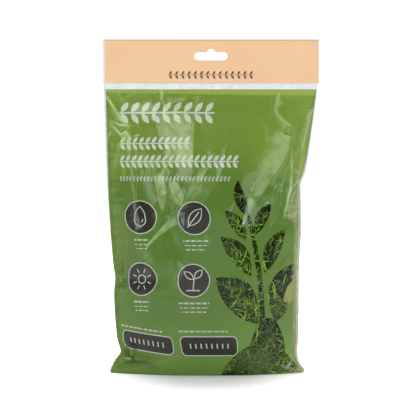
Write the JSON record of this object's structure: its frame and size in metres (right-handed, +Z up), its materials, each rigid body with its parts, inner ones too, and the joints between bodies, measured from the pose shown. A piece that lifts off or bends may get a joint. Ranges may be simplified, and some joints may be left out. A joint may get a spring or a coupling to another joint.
{
  "type": "bag of reindeer moss",
  "caption": "Standing film header bag filled with clumps of dyed, finely branched reindeer moss, with a hanging slot and a see-through area.",
  "frame": {"origin": "middle of the bag's footprint, on the surface that it stands on", "axes": "+Z up along the height of the bag, +X across its width to the viewer's right, -Y towards the printed front, +Y through its depth to the back"},
  "size_m": [0.25, 0.094, 0.388],
  "materials": {
    "header_print": "peach printed film, soft gloss",
    "clear_weld": "clear heat-welded film, finely ribbed",
    "printed_film": "green reverse-printed film, glossy and creased, with a see-through area",
    "back_film": "plain green printed film, glossy and creased",
    "moss": "dyed preserved lichen, matt, finely branched"
  },
  "bodies": {
    "root": {"hang_header": "header_print", "top_seal": "clear_weld", "front_film": "printed_film", "back_film": "back_film", "side_weld_left": "clear_weld", "side_weld_right": "clear_weld", "base_film": "back_film", "moss_clump_01": "moss", "moss_clump_02": "moss", "moss_clump_03": "moss", "moss_clump_04": "moss", "moss_clump_05": "moss", "moss_clump_06": "moss", "moss_clump_07": "moss", "moss_clump_08": "moss"}
  },
  "joints": []
}
